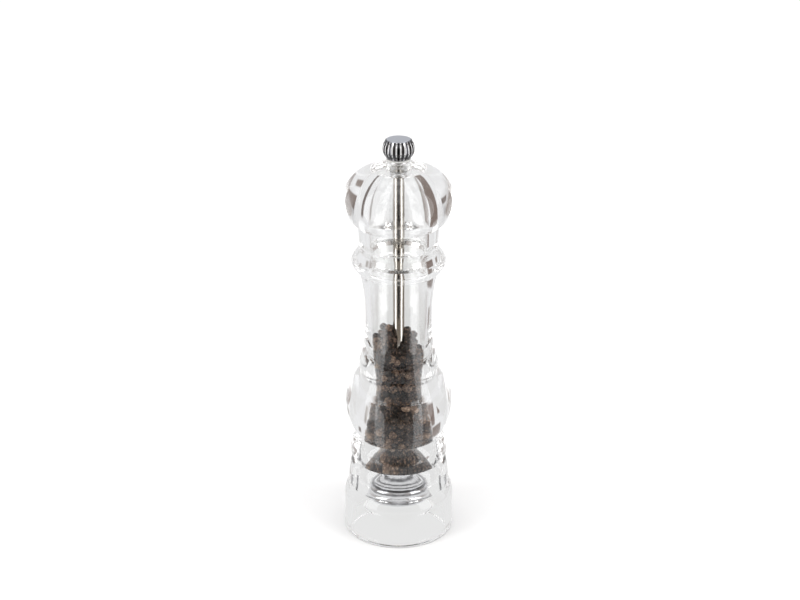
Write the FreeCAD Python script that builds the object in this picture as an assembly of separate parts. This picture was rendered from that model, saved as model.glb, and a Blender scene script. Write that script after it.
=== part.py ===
import FreeCAD, Part
import os

# A turned clear-acrylic pepper mill: a bell-shaped body with a steel grinding
# mechanism in its foot, a ball head with a domed cavity, and a fluted knob on
# a central shaft. Millimetres, +Z up, origin at the centre of the foot.

os.makedirs("parts", exist_ok=True)

V = FreeCAD.Vector
UP = V(0, 0, 1)
ORIGIN = V(0, 0, 0)

# ---- driving dimensions -------------------------------------------------
GAP = 0.3                     # between parts that pass each other
PRESS_GAP = 0.05              # between parts that are pressed together

# body, outside
FOOT_R = 29.3
FOOT_TOP_Z = 19.2
BODY_TOP_Z = 163.7
BODY_TOP_R = 20.4
# body, inside
RECESS_MOUTH_R = 24.4         # outlet recess at the foot
RECESS_CEILING_R = 21.4
RECESS_CEILING_Z = 22.2
MECH_BORE_R = 17.0            # wide bore above the recess, for the mechanism
MECH_BORE_TOP_Z = 79.0        # flat step up to the narrower chamber
BORE_R = 14.6                 # pepper chamber above the step
MOUTH_R = 18.0                # socket for the head's spigot
MOUTH_FLOOR_Z = 154.2

# head
HEAD_BOTTOM_Z = BODY_TOP_Z + GAP
SPIGOT_R = MOUTH_R - GAP
SPIGOT_BOTTOM_Z = MOUTH_FLOOR_Z + 0.4
CAVITY_R = 14.8
DOME_START_Z = 180.5
DOME_TOP_Z = 197.0
DOME_FLAT_R = 5.2
BOSS_R = 6.5
BOSS_TOP_Z = 208.3
BUSH_R = 4.4
DRIVE_TOP_Z = 202.0            # end of the square hole in the head's bush

# shaft
SHAFT_R = 3.0
SQUARE = 4.2                  # across the flats of both square ends
STUD_R = 2.0
SHAFT_END_Z = 18.0
LOWER_SQUARE_TOP_Z = 36.0
UPPER_SQUARE_Z = 194.6
STUD_Z = 204.4
STUD_TOP_Z = 216.0
RUNNING_FIT = 0.06            # radial clearance of a turning or sliding fit

# grinding mechanism
CONE_Z = 20.8
CONE_TOP_Z = 29.4
CONE_R = 11.6
STATOR_Z = 21.1
STATOR_TOP_Z = 31.0
STATOR_R = 14.05
BASE_RING_Z = 20.2
BASE_HUB_R = MECH_BORE_R - GAP
CUP_Z = 27.9
CUP_TOP_Z = 40.0
CUP_R = 14.75
CUP_LIP_R = 16.7
BRIDGE_Z = CUP_TOP_Z + PRESS_GAP
BRIDGE_THICKNESS = 1.5
BRIDGE_WIDTH = 8.5
BRIDGE_R = 16.5
BRIDGE_SCREW_X = 15.1
BUSH_FOOT_Z = 34.4
THRUST_WASHER_Z = 33.2
THRUST_WASHER_T = 0.9
SPRING_R = 3.95               # mean radius of the coil
SPRING_WIRE = 0.7
RING_SCREW_CIRCLE = 19.4
RING_SCREW_COUNT = 2

# knob
KNOB_Z = 210.0
KNOB_TOP_Z = 219.6
KNOB_R = 8.15
KNOB_EQUATOR_Z = 214.9
KNOB_FLUTES = 22
KNOB_CAP_R = 6.2
KNOB_NUT_R = 4.0

# peppercorn fill
FILL_Z = 43.2
FILL_TOP_Z = 112.0            # at the shaft; the heap slopes across it
FILL_SLOPE_DEG = 20.0


# ---- helpers ------------------------------------------------------------
def edge_line(a, b):
    return Part.makeLine(V(a[0], 0, a[1]), V(b[0], 0, b[1]))


def edge_arc(a, middle, b):
    points = [V(p[0], 0, p[1]) for p in (a, middle, b)]
    return Part.Arc(*points).toShape()


def edge_curve(points):
    curve = Part.BSplineCurve()
    curve.interpolate([V(r, 0, z) for r, z in points])
    return curve.toShape()


def revolve(start, *steps):
    """Turn a closed half-section about Z. A step is a point for a straight
    edge, or ("arc", middle, end), or ("curve", point, ..., end)."""
    edges = []
    here = start
    for step in steps:
        if step[0] == "arc":
            edges.append(edge_arc(here, step[1], step[2]))
            here = step[2]
        elif step[0] == "curve":
            edges.append(edge_curve([here] + list(step[1:])))
            here = step[-1]
        else:
            edges.append(edge_line(here, step))
            here = step
    edges.append(edge_line(here, start))
    face = Part.Face(Part.Wire(edges))
    return face.revolve(ORIGIN, UP, 360)


def cylinder(radius, z0, z1, x=0.0, y=0.0):
    return Part.makeCylinder(radius, z1 - z0, V(x, y, z0), UP)


def tube(outer, inner, z0, z1):
    return cylinder(outer, z0, z1).cut(cylinder(inner, z0 - 1, z1 + 1))


def box(x0, x1, y0, y1, z0, z1):
    return Part.makeBox(x1 - x0, y1 - y0, z1 - z0, V(x0, y0, z0))


def square_bar(across, z0, z1):
    half = across / 2
    return box(-half, half, -half, half, z0, z1)


def around(shape, count):
    """Copies of a shape, evenly turned about Z."""
    copies = []
    for i in range(count):
        copy = shape.copy()
        copy.rotate(ORIGIN, UP, 360.0 * i / count)
        copies.append(copy)
    return copies


def slotted_screw(x, y, under_head_z, head_r, head_h, shank_r, length, head_up):
    """One round-head screw; the shank points away from its head."""
    sign = 1 if head_up else -1
    head = Part.makeCone(head_r, head_r * 0.72, head_h, V(x, y, under_head_z), V(0, 0, sign))
    shank = Part.makeCylinder(shank_r, length, V(x, y, under_head_z), V(0, 0, -sign))
    slot_z = under_head_z + sign * head_h
    slot = box(x - head_r, x + head_r, y - 0.25, y + 0.25, slot_z - 0.4, slot_z + 0.4)
    return head.fuse(shank).cut(slot)


# ---- body ---------------------------------------------------------------
def make_body():
    solid = revolve(
        (RECESS_MOUTH_R, 0.0),
        (28.0, 0.0),
        ("arc", (28.95, 0.45), (FOOT_R, 1.6)),
        (FOOT_R, FOOT_TOP_Z),
        ("arc", (28.75, 23.4), (26.5, 26.6)),                        # shoulder
        ("curve", (26.95, 29.0), (26.5, 35.0), (25.8, 39.4), (24.5, 41.8)),
        ("arc", (26.05, 48.2), (22.3, 56.0)),                        # ring
        ("curve", (24.6, 60.0), (28.0, 72.0), (28.2, 76.5), (25.9, 86.5), (21.0, 98.0),
         (18.3, 109.0), (17.4, 124.0), (18.2, 138.0), (20.2, 148.5)),  # bell and waist
        ("curve", (23.2, 151.8), (24.5, 155.6), (22.7, 159.2), (BODY_TOP_R, BODY_TOP_Z)),
        (MOUTH_R + 0.5, BODY_TOP_Z),
        (MOUTH_R, BODY_TOP_Z - 0.5),
        (MOUTH_R, MOUTH_FLOOR_Z),
        (BORE_R, MOUTH_FLOOR_Z),
        (BORE_R, MECH_BORE_TOP_Z),
        (MECH_BORE_R, MECH_BORE_TOP_Z),
        (MECH_BORE_R, RECESS_CEILING_Z),
        (RECESS_CEILING_R, RECESS_CEILING_Z),
    )
    hole = cylinder(1.25, RECESS_CEILING_Z - 1, 30.0, RING_SCREW_CIRCLE)
    for copy in around(hole, RING_SCREW_COUNT):
        solid = solid.cut(copy)
    return solid


def make_peppercorns():
    """The heap in the chamber, as one plain solid with a sloping top."""
    heap = revolve(
        (SHAFT_R + 0.4, FILL_Z),
        (MECH_BORE_R - GAP, FILL_Z),
        (MECH_BORE_R - GAP, MECH_BORE_TOP_Z - GAP),
        (BORE_R - GAP, MECH_BORE_TOP_Z - GAP),
        (BORE_R - GAP, FILL_TOP_Z + 10),
        (SHAFT_R + 0.4, FILL_TOP_Z + 10),
    )
    lid = box(-40, 40, -40, 40, 0, 40)
    lid.rotate(ORIGIN, V(0, 1, 0), FILL_SLOPE_DEG)
    lid.translate(V(0, 0, FILL_TOP_Z))
    return heap.cut(lid)


# ---- grinding mechanism -------------------------------------------------
def make_base_ring():
    """Stepped ring that carries the stator and bolts up under the body."""
    ring = revolve(
        (12.5, BASE_RING_Z),
        (20.6, BASE_RING_Z),
        ("arc", (21.0, 20.4), (21.1, 20.8)),
        (21.1, 22.0),
        (BASE_HUB_R, 22.0),
        (BASE_HUB_R, 24.6),
        ("arc", (16.55, 25.2), (16.2, 25.4)),
        (16.1, 26.4),
        ("arc", (15.9, 27.2), (15.4, 27.6)),
        (14.2, 27.8),
        (14.2, STATOR_Z - PRESS_GAP),
        (12.5, STATOR_Z - PRESS_GAP),
    )
    hole = cylinder(1.3, BASE_RING_Z - 1, 23.0, RING_SCREW_CIRCLE)
    for copy in around(hole, RING_SCREW_COUNT):
        ring = ring.cut(copy)
    return ring


def make_base_ring_screws():
    screw = slotted_screw(RING_SCREW_CIRCLE, 0, BASE_RING_Z - PRESS_GAP, 1.75, 1.1, 1.2, 8.8, False)
    return Part.makeCompound(around(screw, RING_SCREW_COUNT))


def make_mechanism_cup():
    """Polished feed cup between the base ring and the bearing bridge."""
    cup = revolve(
        (14.15, CUP_Z),
        (14.6, CUP_Z),
        (CUP_R, 28.6),
        (CUP_R, 37.6),
        ("arc", (15.3, 39.0), (16.5, 39.3)),
        (CUP_LIP_R, 39.3),
        (CUP_LIP_R, CUP_TOP_Z),
        (16.2, CUP_TOP_Z),
        ("arc", (14.8, 39.6), (14.15, 38.0)),
    )
    for side in (-1, 1):
        cup = cup.cut(cylinder(0.9, 38.0, 41.0, side * BRIDGE_SCREW_X))
    return cup


def make_stator_ring():
    """Outer grinding ring: a feed funnel above a toothed cone."""
    ring = revolve(
        (12.3, STATOR_Z),
        (STATOR_R, STATOR_Z),
        (STATOR_R, STATOR_TOP_Z),
        (12.9, STATOR_TOP_Z),
        (12.6, 28.2),
        (10.7, 25.4),
    )
    tooth_gap = box(9.8, 12.9, -0.45, 0.45, -4.0, 6.0)
    tooth_gap.rotate(V(11, 0, 0), V(1, 0, 0), 25)
    tooth_gap.translate(V(0, 0, 23.4))
    return ring.cut(Part.makeCompound(around(tooth_gap, 28)))


def make_grinding_cone():
    """Inner grinding cone, keyed on the shaft's lower square."""
    cone = revolve(
        (0.0, CONE_Z + 0.8),
        (7.5, CONE_Z + 0.8),
        (8.6, CONE_Z),
        (CONE_R, CONE_Z),
        (10.1, 25.2),
        ("arc", (8.0, 27.6), (4.9, CONE_TOP_Z)),
        (0.0, CONE_TOP_Z),
    )
    fine_gap = box(10.3, 12.5, -0.4, 0.4, -5.0, 3.2)
    fine_gap.rotate(V(11, 0, 0), V(1, 0, 0), -30)
    fine_gap.translate(V(0, 0, 23.0))
    cone = cone.cut(Part.makeCompound(around(fine_gap, 24)))
    feed_gap = Part.makeCylinder(2.6, 16, V(9.6, -8, 25.6), V(0, 1, 0.75))
    for copy in around(feed_gap, 5):
        cone = cone.cut(copy)
    return cone.cut(square_bar(SQUARE + 0.1, CONE_Z - 1, CONE_TOP_Z + 1))


def make_bearing_bridge():
    """Strap across the cup that carries the shaft's lower bearing."""
    z1 = BRIDGE_Z + BRIDGE_THICKNESS
    strap = box(-20, 20, -BRIDGE_WIDTH / 2, BRIDGE_WIDTH / 2, BRIDGE_Z, z1)
    hub = cylinder(6.6, BRIDGE_Z, z1)
    bridge = strap.fuse(hub).common(cylinder(BRIDGE_R, BRIDGE_Z - 1, z1 + 1))
    bridge = bridge.cut(cylinder(4.6 + PRESS_GAP, BRIDGE_Z - 1, z1 + 1))
    for side in (-1, 1):
        bridge = bridge.cut(cylinder(0.95, BRIDGE_Z - 1, z1 + 1, side * BRIDGE_SCREW_X))
    return bridge.removeSplitter()


def make_bridge_screws():
    head_z = BRIDGE_Z + BRIDGE_THICKNESS + PRESS_GAP
    screws = [
        slotted_screw(side * BRIDGE_SCREW_X, 0, head_z, 1.35, 0.8, 0.8, 3.2, True)
        for side in (-1, 1)
    ]
    return Part.makeCompound(screws)


def make_lower_bush():
    """Flanged bearing of the shaft, pressed into the bridge."""
    flange_z = BRIDGE_Z + BRIDGE_THICKNESS + PRESS_GAP
    bush = cylinder(4.6, BUSH_FOOT_Z, flange_z + 0.1).fuse(cylinder(5.6, flange_z, flange_z + 0.7))
    return bush.cut(cylinder(SHAFT_R + RUNNING_FIT, BUSH_FOOT_Z - 1, flange_z + 2))


def make_thrust_washer():
    washer = cylinder(6.0, THRUST_WASHER_Z, THRUST_WASHER_Z + THRUST_WASHER_T)
    return washer.cut(square_bar(SQUARE + 2 * RUNNING_FIT, 30, 40))


def make_spring():
    """Short compression spring that pushes the cone down and open."""
    bottom = CONE_TOP_Z + SPRING_WIRE / 2 + 0.1
    top = THRUST_WASHER_Z - SPRING_WIRE / 2 - 0.1
    turns = 2.6
    helix = Part.makeHelix((top - bottom) / turns, top - bottom, SPRING_R)
    helix.translate(V(0, 0, bottom))
    circle = Part.Circle(V(SPRING_R, 0, bottom), V(0, 1, 0), SPRING_WIRE / 2)
    sweep = Part.BRepOffsetAPI.MakePipeShell(Part.Wire(helix.Edges))
    sweep.setBiNormalMode(UP)
    sweep.add(Part.Wire([circle.toShape()]))
    sweep.build()
    sweep.makeSolid()
    return sweep.shape()


def make_retaining_clip():
    clip = tube(4.6, STUD_R, 19.75, 20.45)
    return clip.cut(box(0, 6, -1.7, 1.7, 19, 21))


def make_shaft():
    """Round rod, square at both ends, with a threaded stud on top."""
    rod = cylinder(SHAFT_R, LOWER_SQUARE_TOP_Z, UPPER_SQUARE_Z)
    lower = square_bar(SQUARE, 20.5, LOWER_SQUARE_TOP_Z + 0.1).common(cylinder(SHAFT_R - 0.05, 20, 40))
    upper = square_bar(SQUARE, UPPER_SQUARE_Z - 0.1, STUD_Z).common(cylinder(SHAFT_R - 0.05, 180, 210))
    neck = cylinder(STUD_R - 0.1, 19.6, 20.6)
    foot = Part.makeCone(1.9, 2.6, 1.7, V(0, 0, SHAFT_END_Z), UP)
    stud = cylinder(STUD_R, STUD_Z - 0.1, STUD_TOP_Z - 0.6)
    tip = Part.makeCone(STUD_R, STUD_R - 0.5, 0.6, V(0, 0, STUD_TOP_Z - 0.6), UP)
    return rod.multiFuse([lower, upper, neck, foot, stud, tip]).removeSplitter()


# ---- head and knob ------------------------------------------------------
def make_head():
    return revolve(
        (CAVITY_R, SPIGOT_BOTTOM_Z),
        (SPIGOT_R - 0.6, SPIGOT_BOTTOM_Z),
        (SPIGOT_R, SPIGOT_BOTTOM_Z + 0.6),
        (SPIGOT_R, HEAD_BOTTOM_Z),
        (BODY_TOP_R, HEAD_BOTTOM_Z),
        (20.9, 174.3),                                               # neck
        ("curve", (24.6, 177.6), (27.5, 182.6), (28.5, 188.5), (27.6, 193.4),
         (24.6, 198.6), (20.0, 202.6), (15.4, 204.6)),               # ball
        ("arc", (14.5, 204.5), (13.8, 203.8)),
        ("curve", (12.4, 201.4), (10.2, 199.9), (7.8, 200.2), (BOSS_R, 201.7)),  # dish
        (BOSS_R, BOSS_TOP_Z - 0.5),
        ("arc", (BOSS_R - 0.15, BOSS_TOP_Z - 0.15), (BOSS_R - 0.5, BOSS_TOP_Z)),
        (BUSH_R + PRESS_GAP, BOSS_TOP_Z),
        (BUSH_R + PRESS_GAP, DOME_TOP_Z),
        (DOME_FLAT_R, DOME_TOP_Z),
        ("arc", (12.1, 191.5), (CAVITY_R, DOME_START_Z)),
    )


def make_head_bush():
    """Flanged metal bush: round bore above, square drive hole below."""
    bush = cylinder(BUSH_R, DOME_TOP_Z, BOSS_TOP_Z + 0.2)
    flange = cylinder(5.6, BOSS_TOP_Z + PRESS_GAP, BOSS_TOP_Z + 0.6)
    bush = bush.fuse(flange)
    bush = bush.cut(square_bar(SQUARE + 2 * RUNNING_FIT, DOME_TOP_Z - 1, DRIVE_TOP_Z))
    return bush.cut(cylinder(SHAFT_R + 0.1, DRIVE_TOP_Z - 0.1, BOSS_TOP_Z + 2))


def make_knob_washer():
    return tube(6.2, SHAFT_R + 0.1, BOSS_TOP_Z + 0.7, KNOB_Z - 0.1)


def make_knob():
    """Fluted ball; the flutes follow its meridians between two plain rims."""
    ball = revolve(
        (KNOB_NUT_R + PRESS_GAP, KNOB_Z),
        (5.7, KNOB_Z),
        ("arc", (6.2, KNOB_Z + 0.2), (6.4, KNOB_Z + 0.7)),
        ("arc", (KNOB_R, KNOB_EQUATOR_Z), (6.9, KNOB_TOP_Z - 0.7)),
        ("arc", (6.75, KNOB_TOP_Z - 0.15), (KNOB_CAP_R + 0.2, KNOB_TOP_Z)),
        (KNOB_CAP_R + PRESS_GAP, KNOB_TOP_Z - 0.9),
        (KNOB_NUT_R + PRESS_GAP, KNOB_TOP_Z - 0.9),
    )
    meridian = edge_arc((6.7, KNOB_Z + 1.2), (KNOB_R + 0.12, KNOB_EQUATOR_Z), (7.2, KNOB_TOP_Z - 1.1))
    start = meridian.valueAt(meridian.FirstParameter)
    along = meridian.tangentAt(meridian.FirstParameter)
    section = Part.Wire([Part.Circle(start, along, 0.42).toShape()])
    groove = Part.Wire([meridian]).makePipeShell([section], True, True)
    for copy in around(groove, KNOB_FLUTES):
        ball = ball.cut(copy)
    return ball


def make_knob_nut():
    """Threaded brass insert, shown with a plain bore."""
    return tube(KNOB_NUT_R, STUD_R + RUNNING_FIT, KNOB_Z + 0.1, STUD_TOP_Z + 1.6)


def make_knob_cap():
    return revolve(
        (0.0, KNOB_TOP_Z - 0.85),
        (KNOB_CAP_R, KNOB_TOP_Z - 0.85),
        (KNOB_CAP_R, KNOB_TOP_Z + 0.05),
        ("arc", (KNOB_CAP_R - 0.1, KNOB_TOP_Z + 0.3), (KNOB_CAP_R - 0.4, KNOB_TOP_Z + 0.4)),
        (0.0, KNOB_TOP_Z + 0.4),
    )


PARTS = {
    "body": make_body,
    "peppercorns": make_peppercorns,
    "base_ring": make_base_ring,
    "base_ring_screws": make_base_ring_screws,
    "mechanism_cup": make_mechanism_cup,
    "stator_ring": make_stator_ring,
    "bearing_bridge": make_bearing_bridge,
    "bridge_screws": make_bridge_screws,
    "lower_bush": make_lower_bush,
    "thrust_washer": make_thrust_washer,
    "spring": make_spring,
    "grinding_cone": make_grinding_cone,
    "retaining_clip": make_retaining_clip,
    "shaft": make_shaft,
    "head": make_head,
    "head_bush": make_head_bush,
    "knob_washer": make_knob_washer,
    "knob": make_knob,
    "knob_nut": make_knob_nut,
    "knob_cap": make_knob_cap,
}

for name, make in PARTS.items():
    shape = make()
    solids = shape.Solids
    print(f"{name}: {len(solids)} solid(s), valid {shape.isValid()}, {shape.Volume:.0f} mm3")
    if len(solids) == 1:
        shape = solids[0]
    shape.exportStep(f"parts/{name}.step")
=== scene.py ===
import math
import random

import bmesh
import bpy
import numpy as np
from mathutils import Matrix, Vector, noise


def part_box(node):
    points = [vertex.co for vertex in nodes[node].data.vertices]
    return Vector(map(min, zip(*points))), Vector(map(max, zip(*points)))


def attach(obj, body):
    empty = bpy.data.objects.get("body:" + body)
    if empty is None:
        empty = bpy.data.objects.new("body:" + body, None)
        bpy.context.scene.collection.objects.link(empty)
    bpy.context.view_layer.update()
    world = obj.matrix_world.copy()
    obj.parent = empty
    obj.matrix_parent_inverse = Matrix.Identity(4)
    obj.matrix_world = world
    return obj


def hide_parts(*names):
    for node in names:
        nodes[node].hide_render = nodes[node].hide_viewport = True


MM = 0.001
TINY = 1e-9
KNOB_FLUTES = 22
TURNING_LINES = 3500.0

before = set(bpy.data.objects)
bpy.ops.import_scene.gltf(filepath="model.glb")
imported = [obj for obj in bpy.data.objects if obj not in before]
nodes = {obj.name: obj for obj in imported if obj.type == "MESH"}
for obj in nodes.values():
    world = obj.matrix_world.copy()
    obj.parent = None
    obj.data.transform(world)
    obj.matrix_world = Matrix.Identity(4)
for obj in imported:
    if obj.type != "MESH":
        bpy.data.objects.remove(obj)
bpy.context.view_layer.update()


# ---- small helpers ------------------------------------------------------
def link(obj):
    bpy.context.scene.collection.objects.link(obj)
    return obj


def new_material(name):
    """A material with an empty Principled shader, and its node tree."""
    material = bpy.data.materials.new(name)
    material.use_nodes = True
    tree = material.node_tree
    return material, tree, tree.nodes["Principled BSDF"]


def add_node(tree, kind, **values):
    node = tree.nodes.new(kind)
    for key, value in values.items():
        if hasattr(node, key):
            setattr(node, key, value)
        else:
            node.inputs[key.replace("_", " ")].default_value = value
    return node


def object_coordinates(tree, scale=(1.0, 1.0, 1.0)):
    coordinates = add_node(tree, "ShaderNodeTexCoord")
    mapping = add_node(tree, "ShaderNodeMapping")
    mapping.inputs["Scale"].default_value = scale
    tree.links.new(coordinates.outputs["Object"], mapping.inputs["Vector"])
    return mapping.outputs["Vector"]


def noise_texture(tree, vector, scale, detail=3.0, roughness=0.5):
    texture = add_node(tree, "ShaderNodeTexNoise", Scale=scale, Detail=detail, Roughness=roughness)
    tree.links.new(vector, texture.inputs["Vector"])
    return texture.outputs["Fac"]


def ramp(tree, factor, stops):
    """A colour ramp; stops is a list of (position, colour)."""
    node = add_node(tree, "ShaderNodeValToRGB")
    elements = node.color_ramp.elements
    while len(elements) < len(stops):
        elements.new(0.5)
    for element, (position, colour) in zip(elements, stops):
        element.position = position
        element.color = (*colour, 1.0)
    tree.links.new(factor, node.inputs["Fac"])
    return node.outputs["Color"]


def remap(tree, factor, low, high):
    node = add_node(tree, "ShaderNodeMapRange")
    node.inputs["To Min"].default_value = low
    node.inputs["To Max"].default_value = high
    tree.links.new(factor, node.inputs["Value"])
    return node.outputs["Result"]


def bump(tree, shader, height, distance, strength=1.0):
    node = add_node(tree, "ShaderNodeBump", Distance=distance, Strength=strength)
    tree.links.new(height, node.inputs["Height"])
    tree.links.new(node.outputs["Normal"], shader.inputs["Normal"])


def finish_with(node_name, material):
    """Gives a carried-over CAD node its material."""
    mesh = nodes[node_name].data
    mesh.materials.clear()
    mesh.materials.append(material)


# ---- materials ----------------------------------------------------------
def clear_acrylic():
    material, tree, shader = new_material("clear_acrylic")
    shader.inputs["Base Color"].default_value = (0.985, 0.988, 0.985, 1.0)
    shader.inputs["Transmission Weight"].default_value = 1.0
    shader.inputs["IOR"].default_value = 1.49
    vector = object_coordinates(tree, (1.0, 1.0, 0.25))
    smudge = noise_texture(tree, vector, 60.0, 4.0)
    roughness = remap(tree, smudge, 0.0, 0.006)
    tree.links.new(roughness, shader.inputs["Roughness"])
    return material


def polished_metal(name, colour, low, high, grain_scale, grain=(1.0, 1.0, 1.0), depth=0.0):
    """Metal with fine grain in its roughness, and a little relief."""
    material, tree, shader = new_material(name)
    shader.inputs["Metallic"].default_value = 1.0
    vector = object_coordinates(tree, grain)
    fine = noise_texture(tree, vector, grain_scale, 5.0, 0.6)
    tone = ramp(tree, fine, [(0.3, [c * 0.88 for c in colour]), (0.7, colour)])
    tree.links.new(tone, shader.inputs["Base Color"])
    tree.links.new(remap(tree, fine, low, high), shader.inputs["Roughness"])
    if depth:
        bump(tree, shader, fine, depth)
    return material


def math_node(tree, operation, a, b=None, c=None):
    """A maths node; each operand is a number or another node's output."""
    node = add_node(tree, "ShaderNodeMath", operation=operation)
    for socket, value in zip(node.inputs, (a, b, c)):
        if value is None:
            continue
        if isinstance(value, (int, float)):
            socket.default_value = value
        else:
            tree.links.new(value, socket)
    return node.outputs[0]


def fluted_chrome():
    """Chrome with painted reflection stripes along its flutes, dark in the valleys and pale on the ridges,
    and painted shade towards its grazing edges.
    """
    material, tree, shader = new_material("fluted_chrome")
    shader.inputs["Metallic"].default_value = 1.0
    split = add_node(tree, "ShaderNodeSeparateXYZ")
    tree.links.new(object_coordinates(tree), split.inputs[0])
    angle = math_node(tree, "ARCTAN2", split.outputs["Y"], split.outputs["X"])
    # painted reflection: one dark and one pale stripe across each flute
    wave = math_node(tree, "COSINE", math_node(tree, "MULTIPLY", angle, float(KNOB_FLUTES)))
    fine = noise_texture(tree, object_coordinates(tree), 700.0, 5.0, 0.6)
    height = math_node(tree, "MULTIPLY_ADD", wave, 0.5, 0.5)
    uneven = math_node(tree, "MULTIPLY_ADD", fine, 0.4, -0.2)
    # painted shade, darker where the surface turns away from view
    edge = add_node(tree, "ShaderNodeLayerWeight")
    edge.inputs["Blend"].default_value = 0.35
    shade = math_node(tree, "SUBTRACT", math_node(tree, "ADD", height, uneven), edge.outputs["Facing"])
    colour = ramp(tree, shade, [
        (0.0, (0.03, 0.03, 0.035)),
        (0.35, (0.16, 0.16, 0.17)),
        (0.8, (0.86, 0.86, 0.87)),
    ])
    tree.links.new(colour, shader.inputs["Base Color"])
    tree.links.new(remap(tree, fine, 0.04, 0.12), shader.inputs["Roughness"])
    return material


def turned_steel():
    """Steel with the fine circular lines of the lathe."""
    material, tree, shader = new_material("turned_steel")
    shader.inputs["Metallic"].default_value = 1.0
    split = add_node(tree, "ShaderNodeSeparateXYZ")
    tree.links.new(object_coordinates(tree), split.inputs[0])
    across = math_node(tree, "MULTIPLY", split.outputs["X"], split.outputs["X"])
    square = math_node(tree, "MULTIPLY_ADD", split.outputs["Y"], split.outputs["Y"], across)
    radius = math_node(tree, "SQRT", square)
    distance = math_node(tree, "ADD", radius, split.outputs["Z"])
    wave = math_node(tree, "SINE", math_node(tree, "MULTIPLY", distance, TURNING_LINES))
    fine = noise_texture(tree, object_coordinates(tree, (1, 1, 4)), 400.0, 4.0, 0.6)
    shade = math_node(tree, "MULTIPLY_ADD", wave, 0.35, fine)
    colour = ramp(tree, shade, [
        (0.2, (0.20, 0.20, 0.21)),
        (0.45, (0.62, 0.62, 0.64)),
        (0.7, (0.84, 0.84, 0.86)),
    ])
    tree.links.new(colour, shader.inputs["Base Color"])
    tree.links.new(remap(tree, fine, 0.06, 0.18), shader.inputs["Roughness"])
    return material


def pepper_skin():
    material, tree, shader = new_material("peppercorn")
    # the tone attribute holds each corn's own colour plus painted shade in its creases
    tone = add_node(tree, "ShaderNodeAttribute", attribute_name="tone")
    vector = object_coordinates(tree)
    blotch = noise_texture(tree, vector, 900.0, 4.0, 0.6)
    mixed = add_node(tree, "ShaderNodeMath", operation="MULTIPLY_ADD")
    tree.links.new(blotch, mixed.inputs[0])
    mixed.inputs[1].default_value = 0.40
    tree.links.new(tone.outputs["Fac"], mixed.inputs[2])
    colour = ramp(tree, mixed.outputs[0], [
        (0.10, (0.012, 0.009, 0.008)),
        (0.30, (0.070, 0.046, 0.035)),
        (0.55, (0.220, 0.140, 0.098)),
        (0.78, (0.400, 0.270, 0.185)),
        (1.00, (0.560, 0.410, 0.300)),
    ])
    tree.links.new(colour, shader.inputs["Base Color"])
    shader.inputs["Roughness"].default_value = 0.62
    shader.inputs["Specular IOR Level"].default_value = 0.35
    fine = noise_texture(tree, vector, 2600.0, 5.0, 0.65)
    bump(tree, shader, fine, 0.00012, 0.8)
    return material


def nylon_material():
    material, tree, shader = new_material("nylon")
    vector = object_coordinates(tree)
    fine = noise_texture(tree, vector, 700.0)
    colour = ramp(tree, fine, [(0.3, (0.74, 0.74, 0.72)), (0.7, (0.86, 0.86, 0.84))])
    tree.links.new(colour, shader.inputs["Base Color"])
    tree.links.new(remap(tree, fine, 0.3, 0.45), shader.inputs["Roughness"])
    shader.inputs["Subsurface Weight"].default_value = 0.1
    shader.inputs["Subsurface Radius"].default_value = (0.002, 0.002, 0.002)
    return material


# ---- peppercorns --------------------------------------------------------
CORN_R = 2.15 * MM
CORN_SIZES = (0.84, 1.12)           # smallest and largest corn, times CORN_R
CORN_SHAPES = 7
CORN_STRETCH = (0.95, 1.03)
CORN_TONES = [0.06, 0.16, 0.26, 0.40, 0.58]
CORN_TONE_SHARES = [0.28, 0.30, 0.22, 0.13, 0.07]
TONE_SPREAD = 0.03
PAINTED_CREASE_SHADE = 0.55                  # painted shade: how much paler a ridge is than a crease
RELIEF_SCALE = 6
CREASE_CELLS = 1.9
CREASE_LIMIT = 0.5
CREASE_MIDDLE = 0.28
CREASE_HEIGHT = 0.36
BROAD_HEIGHT = 0.06
FINE_HEIGHT = 0.05
FULL_TURN = 6.28

FILL_FRACTION = 0.75
POUR_HEIGHT = 16 * MM               # corns start up to this far above the heap
PLACE_TRIES = 9000
SETTLE_STEPS = 400
SETTLE_FALL = 0.12 * MM
SETTLE_SLOWING = 0.7
SETTLE_PASSES = 3
NEIGHBOUR_EVERY = 8
NEIGHBOUR_REACH = 1.2 * MM
TOUCH = 0.97                        # corns touch a little inside their mean radius
PUSH_SHARE = 0.35

CROWN_HEIGHT = 7 * MM               # the heap's top rises to the middle
CROWN_FALL = 75                     # and falls by this times the radius squared
DIP_DEPTH = 32 * MM                 # and dips in front of the shaft
DIP_X = 1 * MM
DIP_WIDTH = 5 * MM
TOP_ROUGHNESS = 0.8 * MM


def chamber_radius(top):
    """Inside radius of the chamber that a corn has to clear when its top is at this height."""
    return np.where(top < STEP_Z, WIDE_BORE_R, BORE_R)


heap_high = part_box("peppercorns")[1]
cup_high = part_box("mechanism_cup")[1]


def heap_section():
    """The heap's lower and upper radius and the height of the step between them."""
    points = np.array([v.co for v in nodes["peppercorns"].data.vertices])
    radius = np.hypot(points[:, 0], points[:, 1])
    wide = radius.max()
    step = points[radius > wide - 0.1 * MM][:, 2].max()
    narrow = radius[points[:, 2] > step + 2 * MM].max()
    return wide, narrow, step


WIDE_BORE_R, BORE_R, STEP_Z = heap_section()
SHAFT_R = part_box("shaft")[1].x
HEAP_FLOOR = cup_high.z + 0.2 * MM


def heap_top(x):
    """Height of the heap's sloping top at x: high on the left, low on the right."""
    top_points = [v.co for v in nodes["peppercorns"].data.vertices if v.co.z > STEP_Z + 5 * MM]
    xs = np.array([p.x for p in top_points])
    zs = np.array([p.z for p in top_points])
    slope, offset = np.polyfit(xs, zs, 1)
    return offset + slope * x


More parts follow.
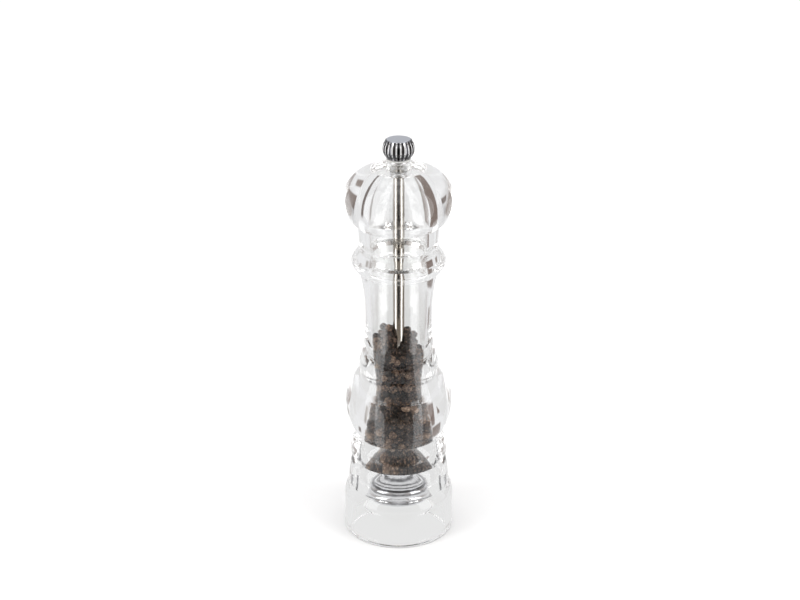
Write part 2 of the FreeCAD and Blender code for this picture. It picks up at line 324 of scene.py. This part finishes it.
def first_places(rng):
    """Corns strewn at random through the chamber, to well above the heap."""
    top = heap_high.z + POUR_HEIGHT
    corn_volume = 4 / 3 * math.pi * CORN_R ** 3
    room = math.pi * (WIDE_BORE_R ** 2 * (STEP_Z - HEAP_FLOOR) + BORE_R ** 2 * (top - STEP_Z))
    low = (-WIDE_BORE_R, -WIDE_BORE_R, HEAP_FLOOR)
    high = (WIDE_BORE_R, WIDE_BORE_R, top)
    tries = rng.uniform(low, high, (PLACE_TRIES, 3))
    distance = np.hypot(tries[:, 0], tries[:, 1])
    inside = tries[(distance < chamber_radius(tries[:, 2])) & (distance > SHAFT_R)]
    return inside[:int(FILL_FRACTION * room / corn_volume)]


def hold_inside(p, r):
    """Pushes corns off the walls, the shaft and the floor."""
    d = np.hypot(p[:, 0], p[:, 1]) + TINY
    limit = chamber_radius(p[:, 2] + r) - r
    scale = np.where(d > limit, limit / d, 1.0)
    scale = np.where(d < SHAFT_R + r, (SHAFT_R + r) / d, scale)
    p[:, 0] *= scale
    p[:, 1] *= scale
    p[:, 2] = np.maximum(p[:, 2], HEAP_FLOOR + r)


def pack_corns():
    """Lets round corns settle in the chamber: centres and radii, in metres."""
    rng = np.random.default_rng(7)
    p = first_places(rng)
    r = CORN_R * rng.uniform(*CORN_SIZES, len(p))
    for step in range(SETTLE_STEPS):
        if step % NEIGHBOUR_EVERY == 0:
            apart = ((p[:, None] - p[None]) ** 2).sum(-1)
            a, b = np.nonzero(np.triu(apart < (r[:, None] + r[None] + NEIGHBOUR_REACH) ** 2, 1))
        p[:, 2] -= SETTLE_FALL * (1 - SETTLE_SLOWING * step / SETTLE_STEPS)
        for _ in range(SETTLE_PASSES):
            delta = p[a] - p[b]
            distance = np.sqrt((delta ** 2).sum(-1)) + TINY
            push = np.clip((r[a] + r[b]) * TOUCH - distance, 0, None) * PUSH_SHARE
            move = delta / distance[:, None] * push[:, None]
            np.add.at(p, a, move)
            np.add.at(p, b, -move)
            hold_inside(p, r)
    front = np.clip(-p[:, 1] / BORE_R, 0.0, 1.0)
    dip = DIP_DEPTH * front * np.exp(-((p[:, 0] - DIP_X) / DIP_WIDTH) ** 2)
    crown = CROWN_HEIGHT - CROWN_FALL * (p[:, 0] ** 2 + p[:, 1] ** 2)
    top = heap_top(p[:, 0]) + crown - dip + rng.normal(0, TOP_ROUGHNESS, len(p))
    keep = p[:, 2] < top
    return p[keep], r[keep]


def corn_shape(seed):
    """One wrinkled corn of unit radius: vertices, faces and the height of each vertex."""
    relief = []
    bm_mesh = bpy.data.meshes.new("corn")
    bm = bmesh.new()
    bmesh.ops.create_icosphere(bm, subdivisions=4, radius=1.0)
    offset = Vector((seed * 3.7, seed * 1.3, seed * 7.1))
    for vertex in bm.verts:
        direction = vertex.co.normalized()
        cell = noise.voronoi(direction * CREASE_CELLS + offset)[0]
        crease = min(cell[1] - cell[0], CREASE_LIMIT)
        broad = noise.noise(direction * 1.4 + offset)
        fine = noise.noise(direction * 6.0 + offset)
        height = BROAD_HEIGHT * broad + CREASE_HEIGHT * (crease - CREASE_MIDDLE) + FINE_HEIGHT * fine
        vertex.co = direction * (1.0 + height)
        relief.append(height * RELIEF_SCALE)
    bm.to_mesh(bm_mesh)
    bm.free()
    points = np.array([v.co for v in bm_mesh.vertices])
    faces = np.array([f.vertices for f in bm_mesh.polygons])
    bpy.data.meshes.remove(bm_mesh)
    return points, faces, np.array(relief)


def make_corns():
    rng = np.random.default_rng(21)
    random_turn = random.Random(5)
    shapes = [corn_shape(k) for k in range(CORN_SHAPES)]
    centres, radii = pack_corns()
    vertices, faces, tones_with_crease_shade = [], [], []
    base = 0
    for centre, radius in zip(centres, radii):
        points, triangles, relief = shapes[rng.integers(len(shapes))]
        angle = random_turn.uniform(0, FULL_TURN)
        axis = Vector([random_turn.gauss(0, 1) for _ in "xyz"]).normalized()
        turn = Matrix.Rotation(angle, 3, axis)
        stretch = rng.uniform(*CORN_STRETCH, 3)
        placed = (points * stretch * radius) @ np.array(turn).T + centre
        vertices.append(placed)
        faces.append(triangles + base)
        base += len(points)
        tone = rng.choice(CORN_TONES, p=CORN_TONE_SHARES) + rng.normal(0, TONE_SPREAD)
        # each corn's own tone, plus painted shade that makes its ridges paler and its creases darker
        tones_with_crease_shade.append(tone + PAINTED_CREASE_SHADE * relief)
    mesh = bpy.data.meshes.new("peppercorn_heap")
    mesh.from_pydata(np.concatenate(vertices).tolist(), [], np.concatenate(faces).tolist())
    mesh.polygons.foreach_set("use_smooth", [True] * len(mesh.polygons))
    attribute = mesh.attributes.new("tone", "FLOAT", "POINT")
    attribute.data.foreach_set("value", np.concatenate(tones_with_crease_shade).astype(np.float32))
    mesh.materials.append(pepper_skin())
    heap = link(bpy.data.objects.new("peppercorn_heap", mesh))
    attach(heap, "barrel")
    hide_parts("peppercorns")


# ---- finishes on the CAD nodes ------------------------------------------
acrylic = clear_acrylic()
polished = polished_metal(
    "polished_steel", (0.80, 0.80, 0.81), 0.06, 0.14, 500.0, (1, 1, 0.1), 0.000004)
rod_steel = polished_metal("rod_steel", (0.64, 0.61, 0.57), 0.08, 0.16, 500.0, (1, 1, 0.1), 0.000004)
satin = polished_metal("satin_chrome", (0.50, 0.52, 0.57), 0.25, 0.40, 1500.0, (1, 1, 1), 0.00006)
brushed = polished_metal("brushed_steel", (0.62, 0.62, 0.63), 0.22, 0.36, 900.0, (0.2, 1, 1), 0.00001)
hardened = polished_metal("hardened_steel", (0.30, 0.29, 0.28), 0.38, 0.55, 600.0, (1, 1, 1), 0.00002)
screw_steel = polished_metal("screw_steel", (0.50, 0.50, 0.51), 0.25, 0.4, 900.0)
brass = polished_metal("brass", (0.78, 0.60, 0.32), 0.18, 0.3, 800.0, (1, 1, 0.2), 0.000008)
nylon = nylon_material()

FINISHES = {
    "body": acrylic,
    "head": acrylic,
    "base_ring": turned_steel(),
    "mechanism_cup": turned_steel(),
    "shaft": rod_steel,
    "head_bush": polished,
    "knob": fluted_chrome(),
    "knob_cap": satin,
    "bearing_bridge": brushed,
    "thrust_washer": brushed,
    "spring": brushed,
    "retaining_clip": brushed,
    "stator_ring": hardened,
    "grinding_cone": hardened,
    "base_ring_screws": screw_steel,
    "bridge_screws": screw_steel,
    "lower_bush": brass,
    "knob_nut": brass,
    "knob_washer": nylon,
}
for node_name, material in FINISHES.items():
    finish_with(node_name, material)
make_corns()


# ---- studio -------------------------------------------------------------
FLOOR_REACH = 6.0
TABLE_FRONT = 0.28
TABLE_SIDE = 0.12
TABLE_BACK = 2.5
TABLE_Z = -0.0002                   # just under the floor, so that the two never meet
WHITE_FRONT = 0.13                  # the table is white behind this, and duller in front of it
WHITE_FADE = 0.03
LIGHT_BOUNCES = 64                  # thick acrylic sends light round its rims many times


def flat_sheet(name, x0, x1, y0, y1, z, finish):
    mesh = bpy.data.meshes.new(name)
    mesh.from_pydata([(x0, y0, z), (x1, y0, z), (x1, y1, z), (x0, y1, z)], [], [(0, 1, 2, 3)])
    mesh.materials.append(finish)
    sheet = link(bpy.data.objects.new(name, mesh))
    sheet.visible_shadow = False
    return sheet


def floor_material():
    material, _, shader = new_material("floor_white")
    shader.inputs["Base Color"].default_value = (0.87, 0.87, 0.87, 1.0)
    shader.inputs["Roughness"].default_value = 0.9
    shader.inputs["Specular IOR Level"].default_value = 0.0
    return material


def table_material():
    """Painted light: a glowing table top, white behind and beside the mill with no shadow on it; a duller
    strip towards its front edge.
    """
    material, tree, shader = new_material("glowing_table_top")
    split = add_node(tree, "ShaderNodeSeparateXYZ")
    tree.links.new(object_coordinates(tree), split.inputs[0])
    edge_low, edge_high = -WHITE_FRONT - WHITE_FADE, -WHITE_FRONT + WHITE_FADE
    depth = smooth_step(tree, split.outputs["Y"], edge_low, edge_high)
    colour = ramp(tree, depth, [(0.0, (0.30, 0.26, 0.22)), (1.0, (0.80, 0.80, 0.80))])
    # painted light: the table glows instead of being lit, so no shadow falls on it
    tree.links.new(colour, shader.inputs["Emission Color"])
    shader.inputs["Emission Strength"].default_value = 1.0
    shader.inputs["Base Color"].default_value = (0.0, 0.0, 0.0, 1.0)
    shader.inputs["Specular IOR Level"].default_value = 0.0
    return material


def make_floor():
    """The wide floor that the camera sees, and the glowing table top, painted light, that the mill reflects
    and refracts.
    """
    reach = FLOOR_REACH
    floor = flat_sheet("floor", -reach, reach, -reach, reach, 0.0, floor_material())
    floor.visible_glossy = False
    floor.visible_transmission = False
    floor.visible_diffuse = False
    finish = table_material()
    table = flat_sheet("glowing_table_top", -TABLE_SIDE, TABLE_SIDE, -TABLE_FRONT, TABLE_BACK, TABLE_Z, finish)
    table.visible_camera = False


KEY_TARGET = (0, 0, 0.11)
KEY_ELEVATION = math.radians(82)
KEY_DISTANCE = 1.3
KEY_SIZE = (0.6, 0.5)
KEY_POWER = 4


def make_key():
    """A soft box over the mill, a little in front of it."""
    lamp = bpy.data.lights.new("key", "AREA")
    lamp.shape = "RECTANGLE"
    lamp.size, lamp.size_y = KEY_SIZE
    lamp.energy = KEY_POWER
    obj = link(bpy.data.objects.new("key", lamp))
    away = Vector((0.0, -math.cos(KEY_ELEVATION), math.sin(KEY_ELEVATION)))
    obj.location = Vector(KEY_TARGET) + away * KEY_DISTANCE
    obj.rotation_mode = "QUATERNION"
    obj.rotation_quaternion = (-away).to_track_quat("-Z", "Y")
    obj.visible_glossy = False
    obj.visible_transmission = False


def smooth_step(tree, value, low, high):
    """0 where value is below low, 1 above high, smooth between; low may be above high."""
    node = add_node(tree, "ShaderNodeMapRange", interpolation_type="SMOOTHSTEP")
    node.inputs["From Min"].default_value = low
    node.inputs["From Max"].default_value = high
    tree.links.new(value, node.inputs["Value"])
    return node.outputs["Result"]


class Surroundings:
    """The studio round the mill, painted by direction: a base tone with soft-edged panels."""

    def __init__(self, base):
        world = bpy.data.worlds.new("studio")
        bpy.context.scene.world = world
        world.use_nodes = True
        self.tree = world.node_tree
        self.background = self.tree.nodes["Background"]
        coordinates = add_node(self.tree, "ShaderNodeTexCoord")
        split = add_node(self.tree, "ShaderNodeSeparateXYZ")
        self.tree.links.new(coordinates.outputs["Generated"], split.inputs[0])
        back = math_node(self.tree, "MULTIPLY", split.outputs["Y"], -1.0)
        angle = math_node(self.tree, "ARCTAN2", split.outputs["X"], back)
        self.azimuth = math_node(self.tree, "DEGREES", angle)
        self.elevation = math_node(self.tree, "DEGREES", math_node(self.tree, "ARCSINE", split.outputs["Z"]))
        colour = add_node(self.tree, "ShaderNodeRGB")
        colour.outputs[0].default_value = (*base, 1.0)
        self.colour = colour.outputs[0]

    def panel(self, azimuth, half_width, low, high, colour, soft=6.0):
        """A patch of the surroundings; azimuth 0 is behind the camera, 90 to the right, in degrees."""
        tree = self.tree
        offset = math_node(tree, "SUBTRACT", self.azimuth, azimuth)
        around = math_node(tree, "ABSOLUTE", math_node(tree, "WRAP", offset, 180.0, -180.0))
        mask = smooth_step(tree, around, half_width + soft / 2, half_width - soft / 2)
        above = smooth_step(tree, self.elevation, low - soft / 2, low + soft / 2)
        below = smooth_step(tree, self.elevation, high + soft / 2, high - soft / 2)
        mask = math_node(tree, "MULTIPLY", mask, math_node(tree, "MULTIPLY", above, below))
        mix = add_node(tree, "ShaderNodeMix", data_type="RGBA")
        colours = [i for i in mix.inputs if i.type == "RGBA"]
        tree.links.new(mask, mix.inputs["Factor"])
        tree.links.new(self.colour, colours[0])
        colours[1].default_value = (*colour, 1.0)
        self.colour = [o for o in mix.outputs if o.type == "RGBA"][0]

    def finish(self, backdrop):
        """The camera itself sees a plain backdrop where it looks past the floor."""
        path = add_node(self.tree, "ShaderNodeLightPath")
        mix = add_node(self.tree, "ShaderNodeMix", data_type="RGBA")
        colours = [i for i in mix.inputs if i.type == "RGBA"]
        self.tree.links.new(path.outputs["Is Camera Ray"], mix.inputs["Factor"])
        self.tree.links.new(self.colour, colours[0])
        colours[1].default_value = (*backdrop, 1.0)
        out = [o for o in mix.outputs if o.type == "RGBA"][0]
        self.tree.links.new(out, self.background.inputs["Color"])


def make_world():
    studio = Surroundings(base=(0.42, 0.38, 0.36))
    studio.panel(180, 80, -90, 60, (0.84, 0.84, 0.85), 20)       # white backdrop
    studio.panel(131, 19, -7, 13, (0.20, 0.155, 0.135), 3)       # brown shapes past the backdrop
    studio.panel(143, 6, -27, -18, (0.24, 0.19, 0.165), 3)
    studio.panel(108, 14, -32, -9, (0.22, 0.17, 0.15), 3)
    studio.panel(-136, 6, -3, 5, (0.17, 0.14, 0.13), 3)
    studio.panel(-110, 5, -30, -12, (0.45, 0.42, 0.40), 3)
    studio.panel(0, 24, -35, 25, (0.03, 0.03, 0.032), 6)         # dark room behind the camera
    studio.panel(0, 30, 30, 90, (0.8, 0.8, 0.8), 6)
    studio.panel(-60, 16, -40, 60, (2.8, 2.8, 2.8), 3)           # soft boxes
    studio.panel(60, 16, -40, 60, (2.8, 2.8, 2.8), 3)
    studio.panel(0, 180, 62, 90, (1.8, 1.8, 1.8), 10)            # ceiling bounce
    studio.finish((1.0, 1.0, 1.0))


CAMERA_X = 0.0007
CAMERA_DISTANCE = 0.780
CAMERA_HEIGHT = 0.458
CAMERA_PITCH = math.radians(22.66)


def make_camera():
    data = bpy.data.cameras.new("camera")
    data.lens = 72.81
    data.sensor_width = 36.0
    data.clip_start = 0.01
    camera = link(bpy.data.objects.new("camera", data))
    camera.location = (CAMERA_X, -CAMERA_DISTANCE, CAMERA_HEIGHT)
    camera.rotation_euler = (math.pi / 2 - CAMERA_PITCH, 0.0, 0.0)
    bpy.context.scene.camera = camera


scene = bpy.context.scene
scene.view_settings.view_transform = "Standard"
scene.cycles.max_bounces = LIGHT_BOUNCES
scene.cycles.transmission_bounces = LIGHT_BOUNCES
scene.cycles.glossy_bounces = LIGHT_BOUNCES

make_floor()
make_world()
make_key()
make_camera()

bpy.context.view_layer.update()
